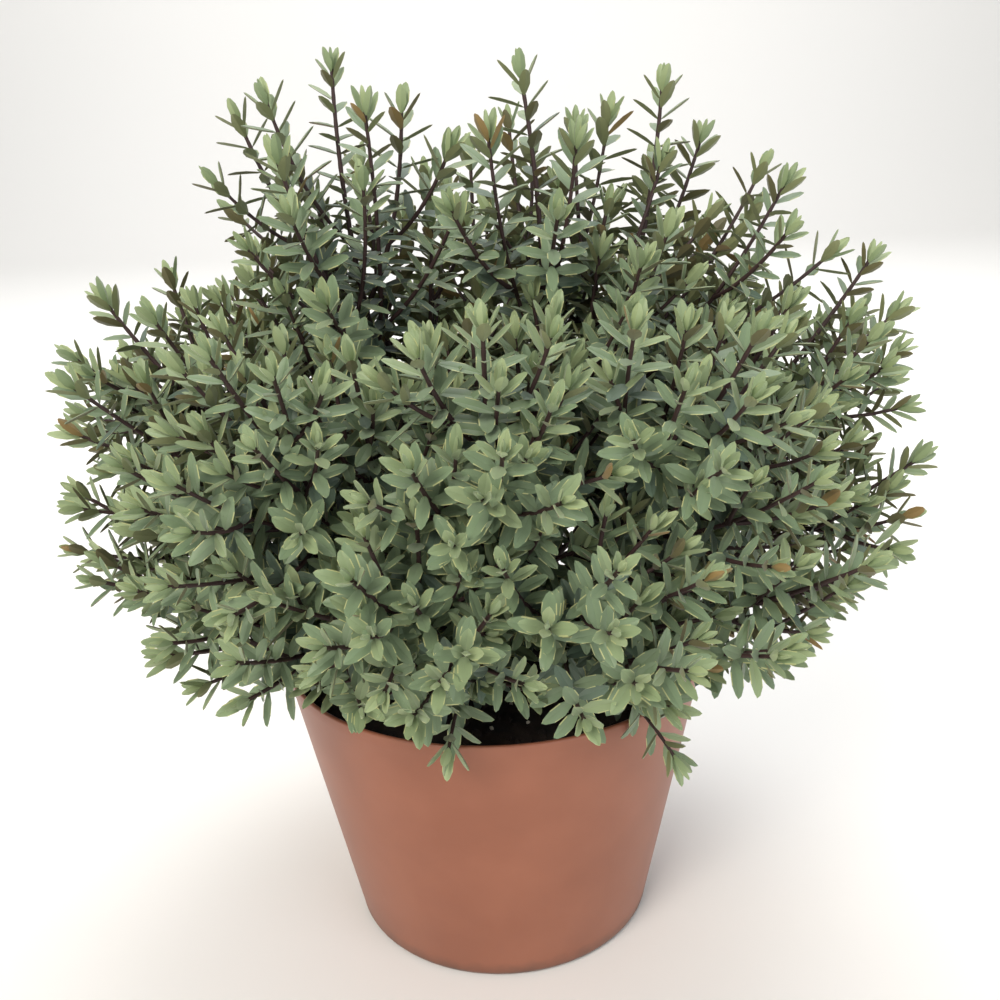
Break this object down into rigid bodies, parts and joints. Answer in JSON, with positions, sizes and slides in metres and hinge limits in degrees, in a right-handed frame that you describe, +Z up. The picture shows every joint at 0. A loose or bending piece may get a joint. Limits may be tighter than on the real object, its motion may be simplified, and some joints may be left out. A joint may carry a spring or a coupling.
{
  "type": "potted hebe shrub",
  "caption": "Bushy evergreen shrub with small pointed leaves in four ranks on upright shoots, in a tapered terracotta-coloured plastic pot.",
  "frame": {"origin": "centre of the pot's flat underside, on the surface that the pot stands on", "axes": "+Z up, -Y towards the viewer of the shrub's front, +X to the viewer's right"},
  "size_m": [0.3739, 0.3478, 0.3896],
  "materials": {
    "pot": "satin",
    "soil": "matte",
    "bark": "matte",
    "leaf": "satin"
  },
  "bodies": {
    "root": {"pot": "pot", "potting_soil": "soil", "main_stem": "bark", "bough_01": "bark", "bough_02": "bark", "bough_03": "bark", "bough_04": "bark", "bough_05": "bark", "bough_06": "bark", "bough_07": "bark", "bough_08": "bark", "bough_09": "bark", "bough_10": "bark", "bough_11": "bark", "bough_12": "bark", "bough_13": "bark", "bough_14": "bark", "bough_15": "bark", "bough_16": "bark", "bough_17": "bark", "bough_18": "bark", "bough_19": "bark", "bough_20": "bark", "bough_21": "bark", "bough_22": "bark", "bough_23": "bark", "bough_24": "bark", "bough_25": "bark", "bough_26": "bark", "foliage_01": "leaf", "foliage_02": "leaf", "foliage_03": "leaf", "foliage_04": "leaf", "foliage_05": "leaf", "foliage_06": "leaf", "foliage_07": "leaf", "foliage_08": "leaf", "foliage_09": "leaf", "foliage_10": "leaf", "foliage_11": "leaf", "foliage_12": "leaf", "foliage_13": "leaf", "foliage_14": "leaf", "foliage_15": "leaf", "foliage_16": "leaf", "foliage_17": "leaf", "foliage_18": "leaf", "foliage_19": "leaf", "foliage_20": "leaf", "foliage_21": "leaf", "foliage_22": "leaf", "foliage_23": "leaf", "foliage_24": "leaf", "foliage_25": "leaf", "foliage_26": "leaf"}
  },
  "joints": []
}
